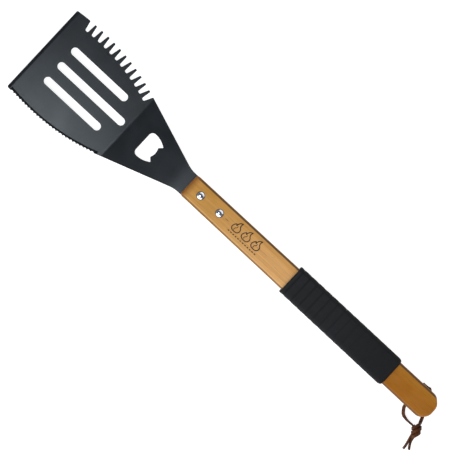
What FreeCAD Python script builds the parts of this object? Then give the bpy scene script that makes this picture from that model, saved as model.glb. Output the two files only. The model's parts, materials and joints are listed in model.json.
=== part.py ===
"""Grill spatula with a bottle opener, a wooden handle, a foam grip sleeve and a leather hanging thong.

Millimetres.  +X runs from the blade's front edge to the butt, +Y to the comb side of the blade and
+Z up, away from the food's underside.  The spatula lies as it rests on a table: on the heel of the
blade and on the flat underside of the grip.  While the pieces are made, x is counted from the blade's
front edge; on export the origin moves to the middle of the length.
"""
import FreeCAD, Part
import math
import os

V = FreeCAD.Vector

# --- overall ------------------------------------------------------------------------------------
OVERALL_LENGTH = 531.9       # front edge of the blade to the butt
AXIS_HEIGHT = 12.6           # height of the handle's centre line above the table

# --- blade, neck and tang: one bent steel sheet -------------------------------------------------
SHEET = 1.5                  # thickness
BLADE_TILT = 7.0             # degrees, front edge up
HEEL_X = 114.5               # lowest line of the heel bend
HEEL_RADIUS = 10.0           # to the middle of the sheet
NECK_BEND_RADIUS = 120.0     # the gentle bend in front of the handle
NECK_BEND_END_X = 198.0
TANG_END_X = 264.0
FRONT_HALF_WIDTH = 51.5
MAX_HALF_WIDTH = 53.6
MAX_WIDTH_X = 36.0
SIDE_RADIUS = 225.0          # side outline behind the widest place
BLADE_END_X = 113.8          # the side arcs end here and the neck starts
TANG_HALF_WIDTH = 12.75
NECK_CORNER_X = 191.6
NECK_FILLET = 30.0
FRONT_CORNER_RADIUS = 1.5
FRONT_BEVEL_LENGTH = 3.2     # ground on the upper face
FRONT_EDGE_THICKNESS = 0.4
OUTLINE_DROP = 5.0           # the plan outline's prism starts this far below the table
OUTLINE_HEIGHT = 40.0
CUTTER_SPARE = 2.0           # how far cutters run past the faces that they cut

# --- openings in the sheet ----------------------------------------------------------------------
SLOT_WIDTH = 8.3
SLOT_SPACING = 20.0
SLOT_FRONT_X = 21.8
SIDE_SLOT_END_X = 95.8
MIDDLE_SLOT_END_X = 110.0

# --- comb on the +Y side ------------------------------------------------------------------------
NOTCH_COUNT = 12
NOTCH_PITCH = 8.4            # along the side outline
NOTCH_DEPTH = 10.5
NOTCH_MOUTH = 6.2
NOTCH_ROOT = 3.2
NOTCH_ROOT_RADIUS = 1.4
NOTCH_RUN_OUT = 4.0          # the notch cutter goes on past the side outline
TOOTH_TIP_RADIUS = 0.7
FIRST_NOTCH_ANGLE = -4.2     # degrees about the side arc's centre, from +Y towards +X

# --- serrated knife edge on the -Y side ---------------------------------------------------------
SERRATION_COUNT = 26
SERRATION_PITCH = 4.0
SERRATION_DEPTH = 1.25
SERRATION_START_X = 6.9      # middle of the first flute
GRIND_ANGLE = 45.0           # tilt of the flutes, which makes the ground band
GRIND_RADIUS = 2.7
GRIND_LENGTH = 12.0

# --- bottle opener hole in the neck -------------------------------------------------------------
OPENER_FRONT_X = 136.25
OPENER_FRONT_HALF = 10.1     # half of the straight front edge
OPENER_CORNER = ((137.5, 12.9), (140.3, 14.28))
OPENER_SIDE = ((148.5, 13.28), (155.0, 10.24))
OPENER_HORN = ((155.75, 9.45), (155.25, 8.75))
OPENER_LIP_FLANK = (152.95, 6.5)
OPENER_LIP_CORNER = ((152.5, 5.75), (152.72, 4.9))
OPENER_LIP_MIDDLE_X = 153.8

# --- wooden handle ------------------------------------------------------------------------------
HANDLE_FRONT_X = 199.7
HANDLE_THICKNESS = 19.0
HANDLE_FRONT_HALF = 13.15
HANDLE_BUTT_HALF = 14.25
BUTT_SHOULDER = (523.8, HANDLE_BUTT_HALF)
BUTT_CORNER_Y = 6.5
BUTT_RADIUS = 10.0
HANDLE_EDGE_RADIUS = 3.0
KERF_SPARE = 1.0             # the sawn kerf runs this much past the tang
KERF_WIDTH = 40.0            # sawn right across

# --- cutlery rivets -----------------------------------------------------------------------------
RIVET_X = (216.0, 241.6)
RIVET_HEAD_RADIUS = 4.0
RIVET_HEAD_RIM = 0.6
RIVET_DOME = 1.1
RIVET_TUBE_RADIUS = 2.5
RIVET_PIN_RADIUS = 1.8
RIVET_TUBE_LENGTH = 15.0
RIVET_TUBE_FLOOR = 3.0
RIVET_PIN_LENGTH = 14.0
RIVET_SEAT_DEPTH = 0.6
RIVET_SEAT_SPARE = 0.1
TANG_HOLE_RADIUS = 2.6
DRILL_LENGTH = 60.0

# --- grip sleeve --------------------------------------------------------------------------------
GRIP_START_X = 338.0
GRIP_END_X = 475.0
GRIP_WIDTH = 33.4
GRIP_EDGE_RADIUS = 5.5
GRIP_FRONT_RADIUS = 0.8
GRIP_REAR_RADIUS = 2.4

# --- leather thong ------------------------------------------------------------------------------
BORE_X = 507.5
BORE_RADIUS = 2.5
BORE_MOUTH_RADIUS = 4.3
BORE_MOUTH_SPARE = 0.5
LACE_RADIUS = 1.3
KNOT_RADIUS = 5.2
KNOT_LENGTH = 16.4
KNOT_END_RADIUS = 3.4
KNOT_AZIMUTH = -47.0         # degrees in plan, the way the knot's long axis points
# All of the thong's places are counted from the middle of the cross bore.
KNOT_CENTRE = (26.5, -25.4)
LOOP_ROUTE = [
    (20.4, -23.6, -8.8), (15.9, -24.0, -11.0), (10.8, -23.7, -10.9), (6.0, -22.2, -8.4),
    (2.6, -18.7, -3.0), (0.2, -15.6, -0.1), (0.2, 15.9, -0.1), (1.9, 17.0, -4.6),
    (5.2, 17.8, -8.9), (9.6, 14.8, -11.0), (14.0, 8.2, -11.2), (17.4, 0.6, -11.15),
    (20.4, -6.6, -11.15), (23.2, -12.6, -10.9), (24.2, -17.2, -9.6), (23.2, -21.2, -8.0),
]
TAIL_ROUTES = [
    [(26.2, -30.0, -9.2), (27.2, -34.0, -10.4), (28.5, -39.0, -11.1), (29.6, -43.6, -11.2),
     (29.8, -47.6, -11.25)],
    [(27.6, -29.8, -6.2), (29.3, -33.6, -7.6), (31.0, -37.4, -9.8), (32.9, -41.0, -11.1),
     (35.0, -44.4, -11.2)],
]


# --- plane curves -------------------------------------------------------------------------------
def line(start, end):
    """A straight edge between two vectors."""
    return Part.LineSegment(start, end).toShape()


def arc(start, middle, end):
    """A round edge through three vectors."""
    return Part.Arc(start, middle, end).toShape()


def corner_arc(before, corner, after, radius):
    """The arc of one radius that rounds a corner, as its start, middle and end."""
    back = (before - corner).normalize()
    ahead = (after - corner).normalize()
    half = back.getAngle(ahead) / 2.0
    reach = radius / math.tan(half)
    middle_way = (back + ahead).normalize()
    centre = corner + middle_way * (radius / math.sin(half))
    return corner + back * reach, centre - middle_way * radius, corner + ahead * reach


def rounded_face(corners):
    """A flat face in XY from (x, y, radius) corners; radius 0 leaves a corner sharp."""
    points = [V(x, y, 0) for x, y, _ in corners]
    count = len(points)
    pieces = []
    for i, (_, _, radius) in enumerate(corners):
        if radius > 0:
            pieces.append(corner_arc(points[i - 1], points[i], points[(i + 1) % count], radius))
        else:
            pieces.append((points[i], points[i], points[i]))
    edges = []
    for i, (start, middle, end) in enumerate(pieces):
        if start.distanceToPoint(end) > 1e-6:
            edges.append(arc(start, middle, end))
        following = pieces[(i + 1) % count][0]
        edges.append(line(end, following))
    return Part.Face(Part.Wire(edges))


def upright_edges(shape, places):
    """The shape's edges along Z that stand at the given (x, y) places."""
    found = []
    for edge in shape.Edges:
        box = edge.BoundBox
        upright = box.XLength + box.YLength < 1e-4
        if upright and any(math.hypot(box.XMin - x, box.YMin - y) < 0.01 for x, y in places):
            found.append(edge)
    return found


# --- blade --------------------------------------------------------------------------------------
def half_width(x):
    """Half of the blade's width at x, between the front edge and the neck."""
    rise = MAX_HALF_WIDTH - FRONT_HALF_WIDTH
    front_radius = (MAX_WIDTH_X ** 2 + rise ** 2) / (2.0 * rise)
    radius = front_radius if x < MAX_WIDTH_X else SIDE_RADIUS
    return MAX_HALF_WIDTH - radius + math.sqrt(radius ** 2 - (x - MAX_WIDTH_X) ** 2)


def neck_slope():
    """Rise of the neck in degrees, from the line that touches both bends."""
    across = NECK_BEND_END_X - HEEL_X
    down = AXIS_HEIGHT - NECK_BEND_RADIUS - HEEL_RADIUS - SHEET / 2.0
    radii = HEEL_RADIUS + NECK_BEND_RADIUS
    return math.degrees(math.atan2(down, across) + math.asin(radii / math.hypot(across, down)))


NECK_SLOPE = neck_slope()


def polar(centre, radius, degrees):
    """A point in the XZ plane on a circle about centre; 0 degrees is +X and 90 is +Z."""
    turn = math.radians(degrees)
    return centre + V(radius * math.cos(turn), 0, radius * math.sin(turn))


def face_line(offset):
    """One face of the bent sheet in the XZ plane, front to tang; offset is counted up from the middle."""
    heel = V(HEEL_X, 0, HEEL_RADIUS + SHEET / 2.0)
    neck = V(NECK_BEND_END_X, 0, AXIS_HEIGHT - NECK_BEND_RADIUS)
    inner = HEEL_RADIUS - offset
    outer = NECK_BEND_RADIUS + offset
    heel_start = polar(heel, inner, -90.0 - BLADE_TILT)
    heel_end = polar(heel, inner, -90.0 + NECK_SLOPE)
    neck_start = polar(neck, outer, 90.0 + NECK_SLOPE)
    neck_end = polar(neck, outer, 90.0)
    front = polar(heel_start, HEEL_X / math.cos(math.radians(BLADE_TILT)), 180.0 - BLADE_TILT)
    tang_end = V(TANG_END_X, 0, neck_end.z)
    return [
        line(front, heel_start),
        arc(heel_start, polar(heel, inner, -90.0 + (NECK_SLOPE - BLADE_TILT) / 2.0), heel_end),
        line(heel_end, neck_start),
        arc(neck_start, polar(neck, outer, 90.0 + NECK_SLOPE / 2.0), neck_end),
        line(neck_end, tang_end),
    ]


def bent_sheet():
    """The sheet's side view, as wide as the widest place and a little more."""
    lower = face_line(-SHEET / 2.0)
    upper = face_line(SHEET / 2.0)
    front = line(lower[0].firstVertex().Point, upper[0].firstVertex().Point)
    back = line(lower[-1].lastVertex().Point, upper[-1].lastVertex().Point)
    profile = Part.Face(Part.Wire(Part.__sortEdges__(lower + upper + [front, back])))
    reach = MAX_HALF_WIDTH + CUTTER_SPARE
    profile.translate(V(0, -reach, 0))
    return profile.extrude(V(0, 2.0 * reach, 0))


def outline_edges(side):
    """One side of the plan outline from the front edge to the tang's end; side is 1 or -1."""
    def at(x, y):
        return V(x, side * y, -OUTLINE_DROP)

    widest = at(MAX_WIDTH_X, MAX_HALF_WIDTH)
    neck = at(BLADE_END_X, half_width(BLADE_END_X))
    front_mid = MAX_WIDTH_X / 2.0
    side_mid = (MAX_WIDTH_X + BLADE_END_X) / 2.0
    corner = at(NECK_CORNER_X, TANG_HALF_WIDTH)
    return [
        arc(at(0, FRONT_HALF_WIDTH), at(front_mid, half_width(front_mid)), widest),
        arc(widest, at(side_mid, half_width(side_mid)), neck),
        line(neck, corner),
        line(corner, at(TANG_END_X, TANG_HALF_WIDTH)),
    ]


def outline_prism():
    """The plan outline of blade, neck and tang, as a tall prism."""
    right, left = outline_edges(1), outline_edges(-1)
    front = line(right[0].firstVertex().Point, left[0].firstVertex().Point)
    back = line(right[-1].lastVertex().Point, left[-1].lastVertex().Point)
    edges = right + left + [front, back]
    prism = Part.Face(Part.Wire(Part.__sortEdges__(edges))).extrude(V(0, 0, OUTLINE_HEIGHT))
    front_corners = [(0, FRONT_HALF_WIDTH), (0, -FRONT_HALF_WIDTH)]
    neck_corners = [(NECK_CORNER_X, TANG_HALF_WIDTH), (NECK_CORNER_X, -TANG_HALF_WIDTH)]
    prism = prism.makeFillet(FRONT_CORNER_RADIUS, upright_edges(prism, front_corners))
    return prism.makeFillet(NECK_FILLET, upright_edges(prism, neck_corners))


def on_blade(tool):
    """Lay a tool on the tilted blade: its XY plane is the underside, its x starts at the front edge."""
    underside = face_line(-SHEET / 2.0)[0]
    front = underside.firstVertex().Point
    heel = underside.lastVertex().Point
    share = front.x / (front.x - heel.x)
    tool.rotate(V(0, 0, 0), V(0, 1, 0), BLADE_TILT)
    tool.translate(V(0, 0, front.z + share * (heel.z - front.z)))
    return tool


def on_neck(tool):
    """Lay a tool on the rising neck: its XY plane is the underside, its x starts at the neck's start."""
    start = face_line(-SHEET / 2.0)[2].firstVertex().Point
    tool.rotate(V(0, 0, 0), V(0, 1, 0), -NECK_SLOPE)
    tool.translate(start)
    return tool


def along_blade(x):
    """Distance along the blade's sheet that covers the plan distance x from the front edge."""
    return x / math.cos(math.radians(BLADE_TILT))


def through(face):
    """A cutter that runs through the sheet from a flat face."""
    face.translate(V(0, 0, -CUTTER_SPARE))
    return face.extrude(V(0, 0, SHEET + 2.0 * CUTTER_SPARE))


def slot_cutter(y, end_x):
    """A slot with round ends, as seen from above."""
    front = along_blade(SLOT_FRONT_X)
    end = along_blade(end_x)
    half = SLOT_WIDTH / 2.0
    # A radius of half the width leaves nothing straight on the ends, so it is a hair less.
    radius = half - 0.001
    corners = [(front, y - half), (end, y - half), (end, y + half), (front, y + half)]
    face = rounded_face([(x, across, radius) for x, across in corners])
    return on_blade(through(face))


def notch_cutter(index):
    """The gap in front of tooth number index, pointing at the middle of the side arc."""
    mouth = NOTCH_MOUTH / 2.0
    flare = mouth + TOOTH_TIP_RADIUS
    root = NOTCH_ROOT / 2.0
    half = [
        (flare, NOTCH_RUN_OUT, 0), (flare, 0, 0), (mouth, 0, TOOTH_TIP_RADIUS),
        (root, -NOTCH_DEPTH, NOTCH_ROOT_RADIUS)]
    face = rounded_face([(-x, y, radius) for x, y, radius in half] + half[::-1])
    degrees = FIRST_NOTCH_ANGLE + index * math.degrees(NOTCH_PITCH / SIDE_RADIUS)
    turn = math.radians(degrees)
    x = MAX_WIDTH_X + SIDE_RADIUS * math.sin(turn)
    y = MAX_HALF_WIDTH - SIDE_RADIUS + SIDE_RADIUS * math.cos(turn)
    face.rotate(V(0, 0, 0), V(0, 0, 1), -degrees)
    face.translate(V(along_blade(x), y, 0))
    return on_blade(through(face))


def flute_cutters():
    """Tilted round cutters that grind the scallops of the knife edge."""
    grind = math.radians(GRIND_ANGLE)
    reach = GRIND_RADIUS / math.cos(grind) - SERRATION_DEPTH
    cutters = []
    x = SERRATION_START_X
    for _ in range(SERRATION_COUNT):
        slope = half_width(x + 0.5) - half_width(x - 0.5)
        out = V(-slope, -1.0, 0).normalize()
        direction = V(0, 0, math.cos(grind)) - out * math.sin(grind)
        middle = V(along_blade(x), -half_width(x), 0) + out * reach
        start = middle - direction * GRIND_LENGTH / 2.0
        cutters.append(on_blade(Part.makeCylinder(GRIND_RADIUS, GRIND_LENGTH, start, direction)))
        x += SERRATION_PITCH * math.cos(math.atan(slope))
    return cutters


def front_bevel_cutter():
    """The wedge ground off the upper face at the front edge."""
    slope = (SHEET - FRONT_EDGE_THICKNESS) / FRONT_BEVEL_LENGTH
    side = MAX_HALF_WIDTH + CUTTER_SPARE
    low = V(-CUTTER_SPARE, -side, FRONT_EDGE_THICKNESS - slope * CUTTER_SPARE)
    high = V(FRONT_BEVEL_LENGTH, -side, SHEET)
    lid = [V(high.x, -side, SHEET + CUTTER_SPARE), V(low.x, -side, SHEET + CUTTER_SPARE)]
    wedge = Part.Face(Part.makePolygon([low, high] + lid + [low]))
    return on_blade(wedge.extrude(V(0, 2.0 * side, 0)))


def opener_cutter():
    """The bottle opener's hole: straight in front, round flanks, two horns and a hollow lip behind."""
    start = face_line(-SHEET / 2.0)[2].firstVertex().Point
    stretch = 1.0 / math.cos(math.radians(NECK_SLOPE))

    def at(point, side):
        return V((point[0] - start.x) * stretch, side * point[1], 0)

    front = (OPENER_FRONT_X, OPENER_FRONT_HALF)
    arcs = [
        (front, *OPENER_CORNER), (OPENER_CORNER[1], *OPENER_SIDE), (OPENER_SIDE[1], *OPENER_HORN),
        (OPENER_LIP_FLANK, *OPENER_LIP_CORNER)]
    edges = [line(at(front, -1), at(front, 1))]
    for side in (1, -1):
        edges += [arc(at(begin, side), at(middle, side), at(end, side)) for begin, middle, end in arcs]
        edges.append(line(at(OPENER_HORN[1], side), at(OPENER_LIP_FLANK, side)))
    lip = OPENER_LIP_CORNER[1]
    edges.append(arc(at(lip, 1), at((OPENER_LIP_MIDDLE_X, 0), 1), at(lip, -1)))
    return on_neck(through(Part.Face(Part.Wire(Part.__sortEdges__(edges)))))


def rivet_hole(x, radius):
    """An upright round cutter through the handle and tang at x."""
    return Part.makeCylinder(radius, DRILL_LENGTH, V(x, 0, AXIS_HEIGHT - DRILL_LENGTH / 2.0))


def make_blade():
    """Blade, neck and tang as one sheet."""
    blade = bent_sheet().common(outline_prism())
    side_slots = [slot_cutter(y, SIDE_SLOT_END_X) for y in (-SLOT_SPACING, SLOT_SPACING)]
    cutters = side_slots + [slot_cutter(0, MIDDLE_SLOT_END_X), opener_cutter(), front_bevel_cutter()]
    cutters += [rivet_hole(x, TANG_HOLE_RADIUS) for x in RIVET_X]
    cutters += [notch_cutter(index) for index in range(NOTCH_COUNT)]
    cutters += flute_cutters()
    for cutter in cutters:
        blade = blade.cut(cutter)
    return blade


# --- handle -------------------------------------------------------------------------------------
def handle_blank():
    """The handle's outer shape, before anything is cut into it."""
    shoulder_x, shoulder_y = BUTT_SHOULDER
    half = [(shoulder_x, shoulder_y, BUTT_RADIUS), (OVERALL_LENGTH, BUTT_CORNER_Y, BUTT_RADIUS)]
    other = [(x, -y, radius) for x, y, radius in reversed(half)]
    front = [(HANDLE_FRONT_X, -HANDLE_FRONT_HALF, 0), (HANDLE_FRONT_X, HANDLE_FRONT_HALF, 0)]
    face = rounded_face(front + half + other)
    face.translate(V(0, 0, AXIS_HEIGHT - HANDLE_THICKNESS / 2.0))
    blank = face.extrude(V(0, 0, HANDLE_THICKNESS))
    rims = [edge for edge in blank.Edges if edge.BoundBox.ZLength < 1e-4]
    corners = [(x, y) for x, y, _ in front]
    return blank.makeFillet(HANDLE_EDGE_RADIUS, rims + upright_edges(blank, corners))


def bore_cutter():
    """The cross bore for the thong, with softened mouths."""
    width = 2.0 * (HANDLE_BUTT_HALF + CUTTER_SPARE)
    bore = Part.makeCylinder(BORE_RADIUS, width, V(BORE_X, -width / 2.0, AXIS_HEIGHT), V(0, 1, 0))
    wide = BORE_MOUTH_RADIUS + BORE_MOUTH_SPARE
    for side in (1, -1):
        start = V(BORE_X, side * (HANDLE_BUTT_HALF + BORE_MOUTH_SPARE), AXIS_HEIGHT)
        mouth = Part.makeCone(wide, BORE_RADIUS, wide - BORE_RADIUS, start, V(0, -side, 0))
        bore = bore.fuse(mouth)
    return bore


def make_handle(blank):
    """The one-piece wooden handle: kerf for the tang, rivet bores with seats and the thong's bore."""
    start = V(HANDLE_FRONT_X - CUTTER_SPARE, -KERF_WIDTH / 2.0, AXIS_HEIGHT - SHEET / 2.0)
    length = TANG_END_X + KERF_SPARE - start.x
    handle = blank.cut(Part.makeBox(length, KERF_WIDTH, SHEET, start))
    seat_radius = RIVET_HEAD_RADIUS + RIVET_SEAT_SPARE
    seat_length = RIVET_SEAT_DEPTH + CUTTER_SPARE
    for x in RIVET_X:
        handle = handle.cut(rivet_hole(x, RIVET_TUBE_RADIUS))
        for side in (1, -1):
            seat = V(x, 0, AXIS_HEIGHT + side * (HANDLE_THICKNESS / 2.0 - RIVET_SEAT_DEPTH))
            handle = handle.cut(Part.makeCylinder(seat_radius, seat_length, seat, V(0, 0, side)))
    return handle.cut(bore_cutter())


def make_grip(blank):
    """The grip sleeve: a block with rounded long edges, hollowed by the handle itself."""
    length = GRIP_END_X - GRIP_START_X
    height = 2.0 * AXIS_HEIGHT
    block = Part.makeBox(length, GRIP_WIDTH, height, V(GRIP_START_X, -GRIP_WIDTH / 2.0, 0))
    long_edges = [edge for edge in block.Edges if edge.BoundBox.XLength > 1.0]
    block = block.makeFillet(GRIP_EDGE_RADIUS, long_edges)
    for end_x, radius in ((GRIP_START_X, GRIP_FRONT_RADIUS), (GRIP_END_X, GRIP_REAR_RADIUS)):
        boxes = [(edge, edge.BoundBox) for edge in block.Edges]
        rim = [edge for edge, box in boxes if box.XLength < 1e-4 and abs(box.XMin - end_x) < 0.01]
        block = block.makeFillet(radius, rim)
    return block.cut(blank)


# --- rivets -------------------------------------------------------------------------------------
def turned(points):
    """A solid turned about Z from a profile in XZ that starts and ends on the axis."""
    dome_top, dome_middle, rim = points[0], points[1], points[2]
    edges = [arc(dome_top, dome_middle, rim)]
    for start, end in zip(points[2:], points[3:] + [dome_top]):
        edges.append(line(start, end))
    return Part.Face(Part.Wire(edges)).revolve(V(0, 0, 0), V(0, 0, 1), 360.0)


def rivet_half(shank):
    """A domed head with the given shank profile below it; its seat is at z = 0 and the shank is up."""
    radius = (RIVET_HEAD_RADIUS ** 2 + RIVET_DOME ** 2) / (2.0 * RIVET_DOME)
    top = -(RIVET_HEAD_RIM + RIVET_DOME)
    turn = math.asin(RIVET_HEAD_RADIUS / radius) / 2.0
    middle = V(radius * math.sin(turn), 0, top + radius - radius * math.cos(turn))
    head = [V(0, 0, top), middle, V(RIVET_HEAD_RADIUS, 0, -RIVET_HEAD_RIM), V(RIVET_HEAD_RADIUS, 0, 0)]
    return turned(head + [V(x, 0, z) for x, z in shank])


def make_rivets():
    """Front pin halves and back tube halves of the two cutlery rivets, by node name."""
    seat = HANDLE_THICKNESS / 2.0 - RIVET_SEAT_DEPTH
    pin_shank = [(RIVET_PIN_RADIUS, 0), (RIVET_PIN_RADIUS, RIVET_PIN_LENGTH), (0, RIVET_PIN_LENGTH)]
    tube_shank = [
        (RIVET_TUBE_RADIUS, 0), (RIVET_TUBE_RADIUS, RIVET_TUBE_LENGTH),
        (RIVET_PIN_RADIUS, RIVET_TUBE_LENGTH), (RIVET_PIN_RADIUS, RIVET_TUBE_FLOOR),
        (0, RIVET_TUBE_FLOOR)]
    nodes = {}
    for number, x in enumerate(RIVET_X, start=1):
        pin = rivet_half(pin_shank)
        pin.rotate(V(0, 0, 0), V(1, 0, 0), 180.0)
        pin.translate(V(x, 0, AXIS_HEIGHT + seat))
        tube = rivet_half(tube_shank)
        tube.translate(V(x, 0, AXIS_HEIGHT - seat))
        nodes["front_rivet_%d" % number] = pin
        nodes["back_rivet_%d" % number] = tube
    return nodes


# --- thong --------------------------------------------------------------------------------------
def lace(name, route):
    """A round lace along straight runs joined by tangent arcs; prints its radii and checks its volume."""
    points = [V(*place) + V(BORE_X, 0, AXIS_HEIGHT) for place in route]
    edges = []
    radii = []
    here = points[0]
    for before, corner, after in zip(points, points[1:], points[2:]):
        turn = (corner - before).getAngle(after - corner)
        shorter = min(before.distanceToPoint(corner), corner.distanceToPoint(after))
        radius = 0.45 * shorter / math.tan(turn / 2.0)
        start, middle, end = corner_arc(before, corner, after, radius)
        edges.append(line(here, start))
        edges.append(arc(start, middle, end))
        radii.append(round(radius, 1))
        here = end
    edges.append(line(here, points[-1]))
    path = Part.Wire(edges)
    ring = Part.Wire([Part.makeCircle(LACE_RADIUS, points[0], points[1] - points[0])])
    tube = path.makePipeShell([ring], True, False)
    share = tube.Volume / (math.pi * LACE_RADIUS ** 2 * path.Length)
    print("%s: length %.1f, volume over section x length %.4f" % (name, path.Length, share))
    print("    radii %s" % radii)
    return tube


def make_knot():
    """The outer shape of the overhand knot that ties the loop: a short rounded barrel on the table."""
    turn = math.radians(KNOT_AZIMUTH)
    way = V(math.cos(turn), math.sin(turn), 0)
    centre = V(BORE_X + KNOT_CENTRE[0], KNOT_CENTRE[1], KNOT_RADIUS)
    barrel = Part.makeCylinder(KNOT_RADIUS, KNOT_LENGTH, centre - way * KNOT_LENGTH / 2.0, way)
    rims = [edge for edge in barrel.Edges if isinstance(edge.Curve, Part.Circle)]
    return barrel.makeFillet(KNOT_END_RADIUS, rims)


def make_thong():
    """Loop, knot and the two tails, each in its own node; the laces end on the knot's surface."""
    knot = make_knot()
    nodes = {"thong_knot": knot, "thong_loop": lace("thong_loop", LOOP_ROUTE).cut(knot)}
    for number, route in enumerate(TAIL_ROUTES, start=1):
        name = "thong_tail_%d" % number
        nodes[name] = lace(name, route).cut(knot)
    return nodes


# --- all pieces ---------------------------------------------------------------------------------
def build():
    """Every node's solid by name, with the origin at the middle of the length, on the table."""
    blank = handle_blank()
    nodes = {"blade": make_blade(), "handle": make_handle(blank), "grip_sleeve": make_grip(blank)}
    nodes.update(make_rivets())
    nodes.update(make_thong())
    for shape in nodes.values():
        shape.translate(V(-OVERALL_LENGTH / 2.0, 0, 0))
    return nodes


os.makedirs("parts", exist_ok=True)
print("neck slope %.2f degrees" % NECK_SLOPE)
for node, solid in build().items():
    box = solid.BoundBox
    print("%-14s solids %d valid %s volume %9.1f  x %.2f %.2f  y %.2f %.2f  z %.2f %.2f" % (
        node, len(solid.Solids), solid.isValid(), solid.Volume,
        box.XMin, box.XMax, box.YMin, box.YMax, box.ZMin, box.ZMax))
    solid.exportStep("parts/%s.step" % node)
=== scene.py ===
"""Grill spatula: the finishes, the foam grip sleeve and the leather thong, built around the fixed frame.

Metres, in the frame's axes: +X from the blade to the butt, +Y to the comb side, +Z up, table at z = 0.
"""
import json
import logging
import math
from dataclasses import dataclass, field
from enum import Enum

import bmesh
import bpy
from mathutils import Matrix, Vector


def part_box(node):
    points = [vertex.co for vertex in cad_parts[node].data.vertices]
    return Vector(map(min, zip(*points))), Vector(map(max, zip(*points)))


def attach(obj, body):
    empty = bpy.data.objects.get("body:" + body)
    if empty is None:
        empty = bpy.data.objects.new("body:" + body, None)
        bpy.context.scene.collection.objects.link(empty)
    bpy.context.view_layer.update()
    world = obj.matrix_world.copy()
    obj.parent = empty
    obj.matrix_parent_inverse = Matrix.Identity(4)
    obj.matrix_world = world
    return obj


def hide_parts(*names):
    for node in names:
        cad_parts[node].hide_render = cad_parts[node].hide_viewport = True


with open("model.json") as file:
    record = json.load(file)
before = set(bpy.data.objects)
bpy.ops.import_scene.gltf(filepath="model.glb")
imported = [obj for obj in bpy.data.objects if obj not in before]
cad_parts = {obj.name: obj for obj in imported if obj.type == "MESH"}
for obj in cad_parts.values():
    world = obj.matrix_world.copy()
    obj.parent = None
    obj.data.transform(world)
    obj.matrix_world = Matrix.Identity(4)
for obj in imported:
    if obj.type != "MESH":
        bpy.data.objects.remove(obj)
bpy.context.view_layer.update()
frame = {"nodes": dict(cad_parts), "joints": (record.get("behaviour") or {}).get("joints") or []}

MM = 0.001
ROOT_BODY = "spatula"
LOOP_BODY = "hang_loop"
RIVET_NUMBERS = (1, 2)
RIB_PITCH = 9.4 * MM
FAR = 1000.0  # as a pattern's size along an axis, leaves that axis out

log = logging.getLogger("grill_spatula")

Band = tuple[float, float]
Colour = tuple[float, float, float]
Place = tuple[float, float, float]
Socket = bpy.types.NodeSocket


class Side(Enum):
    """The two long sides of the spatula, as signs along Y."""

    KNIFE = -1
    COMB = 1


class Stroke(Enum):
    """The line weights of the burned ornament, as radii in metres."""

    FINE = 0.34 * MM
    BOLD = 0.52 * MM


# --- small tools ---
def srgb(red: int, green: int, blue: int) -> Colour:
    """Turn a display colour into the linear one that shaders take.

    Args:
        red: Red, 0 to 255.
        green: Green, 0 to 255.
        blue: Blue, 0 to 255.

    Returns:
        The linear colour.
    """
    def linear(value: int) -> float:
        """Linear share of one channel."""
        share = value / 255.0
        return share / 12.92 if share <= 0.04045 else ((share + 0.055) / 1.055) ** 2.4

    return linear(red), linear(green), linear(blue)


def piece_from(mesh_maker: bmesh.types.BMesh, name: str) -> bpy.types.Object:
    """Put a finished bmesh into the scene as an object at the origin.

    Args:
        mesh_maker: The finished bmesh, which is freed.
        name: The piece's name.

    Returns:
        The new object, smooth shaded.
    """
    mesh = bpy.data.meshes.new(name)
    mesh_maker.to_mesh(mesh)
    mesh_maker.free()
    for polygon in mesh.polygons:
        polygon.use_smooth = True
    made = bpy.data.objects.new(name, mesh)
    bpy.context.scene.collection.objects.link(made)
    return made


def dress(piece: bpy.types.Object, material: bpy.types.Material) -> None:
    """Give a piece one material and nothing else."""
    piece.data.materials.clear()
    piece.data.materials.append(material)


def rivet_places() -> tuple[Place, ...]:
    """The middles of the front rivet halves."""
    boxes = [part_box("front_rivet_%d" % number) for number in RIVET_NUMBERS]
    return tuple(tuple((low + high) / 2.0) for low, high in boxes)


@dataclass(frozen=True)
class HandleTaper:
    """Plan of the wooden handle, which widens evenly from its front end to the shoulders of its butt."""

    front_half: float = 13.15 * MM
    shoulder_back: float = 8.1 * MM

    def half(self, x: float) -> float:
        """Half of the handle's width at x.

        Args:
            x: Place along the handle.

        Returns:
            Half of its width, in metres.
        """
        low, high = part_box("handle")
        share = (x - low.x) / (high.x - self.shoulder_back - low.x)
        return self.front_half + (high.y - self.front_half) * share


def rounded_outline(bm: bmesh.types.BMesh, width: float, height: float, radius: float,
                    segments: int) -> list[bmesh.types.BMVert]:
    """Make one flat face in XY about the origin, a rectangle with round corners.

    Args:
        bm: The bmesh to add it to.
        width: Its size along X.
        height: Its size along Y.
        radius: The corners' radius.
        segments: The steps round each corner.

    Returns:
        The face's vertices.
    """
    corners = bmesh.ops.create_grid(bm, x_segments=1, y_segments=1, size=0.5)["verts"]
    bmesh.ops.scale(bm, vec=(width, height, 1.0), verts=corners)
    known = set(bm.verts) - set(corners)
    bmesh.ops.bevel(bm, geom=corners, offset=radius, offset_type="OFFSET", affect="VERTICES",
                    segments=segments, profile=0.5, material=-1)
    return [vert for vert in bm.verts if vert not in known]


def extruded(bm: bmesh.types.BMesh,
             edges: list[bmesh.types.BMEdge]) -> tuple[list[bmesh.types.BMVert], list[bmesh.types.BMEdge]]:
    """Extrude a ring of edges, in place.

    Args:
        bm: The ring's bmesh.
        edges: The ring's edges.

    Returns:
        The new ring's vertices and edges.
    """
    grown = bmesh.ops.extrude_edge_only(bm, edges=edges)["geom"]
    ring = [item for item in grown if isinstance(item, bmesh.types.BMVert)]
    return ring, [item for item in grown if isinstance(item, bmesh.types.BMEdge)
                  and item.verts[0] in ring and item.verts[1] in ring]


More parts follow.
